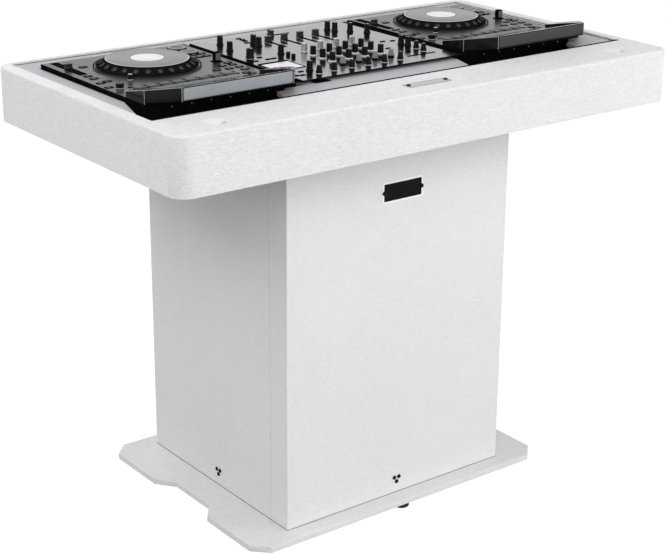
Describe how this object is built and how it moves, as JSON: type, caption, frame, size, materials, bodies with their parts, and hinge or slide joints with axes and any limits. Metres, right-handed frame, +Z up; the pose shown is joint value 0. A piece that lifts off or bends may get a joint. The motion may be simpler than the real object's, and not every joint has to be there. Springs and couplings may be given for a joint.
{
  "type": "dj booth",
  "caption": "Stand-up DJ booth: flat base, panelled column with a pull-off front cover, and a shallow tray holding media players and a mixer flush in a grey fascia.",
  "frame": {"origin": "on the floor, under the middle of the booth's overall box", "axes": "+Z up, +X along the tray's length, -Y towards the audience and the front cover"},
  "size_m": [1.218, 0.683, 0.9735],
  "materials": {
    "white_coat": "fine textured white coat over board",
    "black_board": "matt black coat over board",
    "post_metal": "mill finish",
    "bracket_steel": "zinc plated",
    "screw_black": "blackened",
    "foot_rubber": "matt",
    "fascia_grey": "satin grey",
    "badge_black": "gloss black with a white border",
    "badge_silver": "brushed",
    "cap_white": "matt white",
    "case_black": "matt black",
    "player_panel": "dark satin",
    "mixer_panel": "glossy metallic grey",
    "jog_plastic": "black side, grey top",
    "display_white": "pale, lit",
    "display_glass": "pale, lit",
    "screen_black": "gloss black, grey back",
    "screen_glass": "dark glass",
    "knob_black": "soft black with a white skirt line",
    "metal_knob": "bright",
    "cap_grey": "dark grey",
    "key_grey": "dark grey",
    "button_ring": "dark with a bright ring"
  },
  "bodies": {
    "booth": {"base_plate": "white_coat", "base_feet": "foot_rubber", "column_left_panel": "white_coat", "column_right_panel": "white_coat", "column_rear_panel": "white_coat", "column_posts": "post_metal", "column_top_plate": "black_board", "base_brackets": "bracket_steel", "panel_screws": "screw_black", "tray_shell": "white_coat", "tray_floor": "black_board", "tray_bolts": "bracket_steel", "rim_caps": "cap_white", "rim_badge": "badge_silver", "rim_screws": "screw_black", "fascia_frame": "fascia_grey", "fascia_tongue": "fascia_grey", "fascia_battens": "black_board", "gear_risers": "black_board", "mixer_chassis": "case_black", "mixer_top_panel": "mixer_panel", "mixer_display": "display_glass", "mixer_channel_knobs": "knob_black", "mixer_side_knobs": "knob_black", "left_player_chassis": "case_black", "left_player_top_panel": "player_panel", "left_player_jog_display": "display_white", "left_player_screen_housing": "screen_black", "left_player_screen_glass": "screen_glass", "right_player_chassis": "case_black", "right_player_top_panel": "player_panel", "right_player_jog_display": "display_white", "right_player_screen_housing": "screen_black", "right_player_screen_glass": "screen_glass"},
    "front_cover": {"column_front_cover": "white_coat", "cover_pegs": "bracket_steel", "cover_screws": "screw_black", "front_badge": "badge_black"},
    "mixer_effect_knob": {"mixer_effect_knob": "knob_black"},
    "mixer_crossfader": {"mixer_crossfader": "cap_grey"},
    "mixer_channel_fader_1": {"mixer_channel_fader_1": "cap_grey"},
    "mixer_channel_fader_2": {"mixer_channel_fader_2": "cap_grey"},
    "mixer_channel_fader_3": {"mixer_channel_fader_3": "cap_grey"},
    "mixer_channel_fader_4": {"mixer_channel_fader_4": "cap_grey"},
    "left_player_jog_wheel": {"left_player_jog_wheel": "jog_plastic"},
    "left_player_tempo_fader": {"left_player_tempo_fader": "cap_grey"},
    "left_player_play_button": {"left_player_play_button": "button_ring"},
    "left_player_cue_button": {"left_player_cue_button": "button_ring"},
    "left_player_hot_cue_keys": {"left_player_hot_cue_keys": "key_grey"},
    "left_player_direction_lever": {"left_player_direction_lever": "key_grey"},
    "left_player_vinyl_speed_knob": {"left_player_vinyl_speed_knob": "metal_knob"},
    "left_player_selector_knob": {"left_player_selector_knob": "metal_knob"},
    "right_player_jog_wheel": {"right_player_jog_wheel": "jog_plastic"},
    "right_player_tempo_fader": {"right_player_tempo_fader": "cap_grey"},
    "right_player_play_button": {"right_player_play_button": "button_ring"},
    "right_player_cue_button": {"right_player_cue_button": "button_ring"},
    "right_player_hot_cue_keys": {"right_player_hot_cue_keys": "key_grey"},
    "right_player_direction_lever": {"right_player_direction_lever": "key_grey"},
    "right_player_vinyl_speed_knob": {"right_player_vinyl_speed_knob": "metal_knob"},
    "right_player_selector_knob": {"right_player_selector_knob": "metal_knob"}
  },
  "joints": [
    {"name": "front_cover_pull", "type": "slide", "parent": "booth", "child": "front_cover", "axis": [0, -1, 0], "range_m": [0, 0.15]},
    {"name": "effect_knob_turn", "type": "hinge", "parent": "booth", "child": "mixer_effect_knob", "pos_m": [-0.176, 0.075, 0.94], "axis": [0, 0, 1], "range_deg": [-150, 150]},
    {"name": "crossfader_slide", "type": "slide", "parent": "booth", "child": "mixer_crossfader", "axis": [1, 0, 0], "range_m": [0, 0.045]},
    {"name": "channel_fader_1_slide", "type": "slide", "parent": "booth", "child": "mixer_channel_fader_1", "axis": [0, -1, 0], "range_m": [0, 0.06]},
    {"name": "channel_fader_2_slide", "type": "slide", "parent": "booth", "child": "mixer_channel_fader_2", "axis": [0, -1, 0], "range_m": [0, 0.06]},
    {"name": "channel_fader_3_slide", "type": "slide", "parent": "booth", "child": "mixer_channel_fader_3", "axis": [0, -1, 0], "range_m": [0, 0.06]},
    {"name": "channel_fader_4_slide", "type": "slide", "parent": "booth", "child": "mixer_channel_fader_4", "axis": [0, -1, 0], "range_m": [0, 0.06]},
    {"name": "left_jog_spin", "type": "hinge", "parent": "booth", "child": "left_player_jog_wheel", "pos_m": [-0.379, 0.1345, 0.94], "axis": [0, 0, 1], "continuous": true},
    {"name": "left_tempo_slide", "type": "slide", "parent": "booth", "child": "left_player_tempo_fader", "axis": [0, -1, 0], "range_m": [-0.05, 0.05]},
    {"name": "left_play_press", "type": "slide", "parent": "booth", "child": "left_player_play_button", "axis": [0, 0, -1], "range_m": [0, 0.0012], "stiffness_N_per_m": 600, "springref_m": -0.002},
    {"name": "left_cue_press", "type": "slide", "parent": "booth", "child": "left_player_cue_button", "axis": [0, 0, -1], "range_m": [0, 0.0012], "stiffness_N_per_m": 600, "springref_m": -0.002},
    {"name": "left_hot_cue_press", "type": "slide", "parent": "booth", "child": "left_player_hot_cue_keys", "axis": [0, 0, -1], "range_m": [0, 0.001], "stiffness_N_per_m": 800, "springref_m": -0.002},
    {"name": "left_direction_tilt", "type": "hinge", "parent": "booth", "child": "left_player_direction_lever", "pos_m": [-0.247, 0.0885, 0.9345], "axis": [1, 0, 0], "range_deg": [-12, 12]},
    {"name": "left_vinyl_speed_turn", "type": "hinge", "parent": "booth", "child": "left_player_vinyl_speed_knob", "pos_m": [-0.47, 0.0455, 0.94], "axis": [0, 0, 1], "range_deg": [-140, 140]},
    {"name": "left_selector_turn", "type": "hinge", "parent": "booth", "child": "left_player_selector_knob", "pos_m": [-0.518, 0.0015, 0.94], "axis": [0, 0, 1], "continuous": true},
    {"name": "right_jog_spin", "type": "hinge", "parent": "booth", "child": "right_player_jog_wheel", "pos_m": [0.379, 0.1345, 0.94], "axis": [0, 0, 1], "continuous": true},
    {"name": "right_tempo_slide", "type": "slide", "parent": "booth", "child": "right_player_tempo_fader", "axis": [0, -1, 0], "range_m": [-0.05, 0.05]},
    {"name": "right_play_press", "type": "slide", "parent": "booth", "child": "right_player_play_button", "axis": [0, 0, -1], "range_m": [0, 0.0012], "stiffness_N_per_m": 600, "springref_m": -0.002},
    {"name": "right_cue_press", "type": "slide", "parent": "booth", "child": "right_player_cue_button", "axis": [0, 0, -1], "range_m": [0, 0.0012], "stiffness_N_per_m": 600, "springref_m": -0.002},
    {"name": "right_hot_cue_press", "type": "slide", "parent": "booth", "child": "right_player_hot_cue_keys", "axis": [0, 0, -1], "range_m": [0, 0.001], "stiffness_N_per_m": 800, "springref_m": -0.002},
    {"name": "right_direction_tilt", "type": "hinge", "parent": "booth", "child": "right_player_direction_lever", "pos_m": [0.511, 0.0885, 0.9345], "axis": [1, 0, 0], "range_deg": [-12, 12]},
    {"name": "right_vinyl_speed_turn", "type": "hinge", "parent": "booth", "child": "right_player_vinyl_speed_knob", "pos_m": [0.288, 0.0455, 0.94], "axis": [0, 0, 1], "range_deg": [-140, 140]},
    {"name": "right_selector_turn", "type": "hinge", "parent": "booth", "child": "right_player_selector_knob", "pos_m": [0.24, 0.0015, 0.94], "axis": [0, 0, 1], "continuous": true}
  ]
}
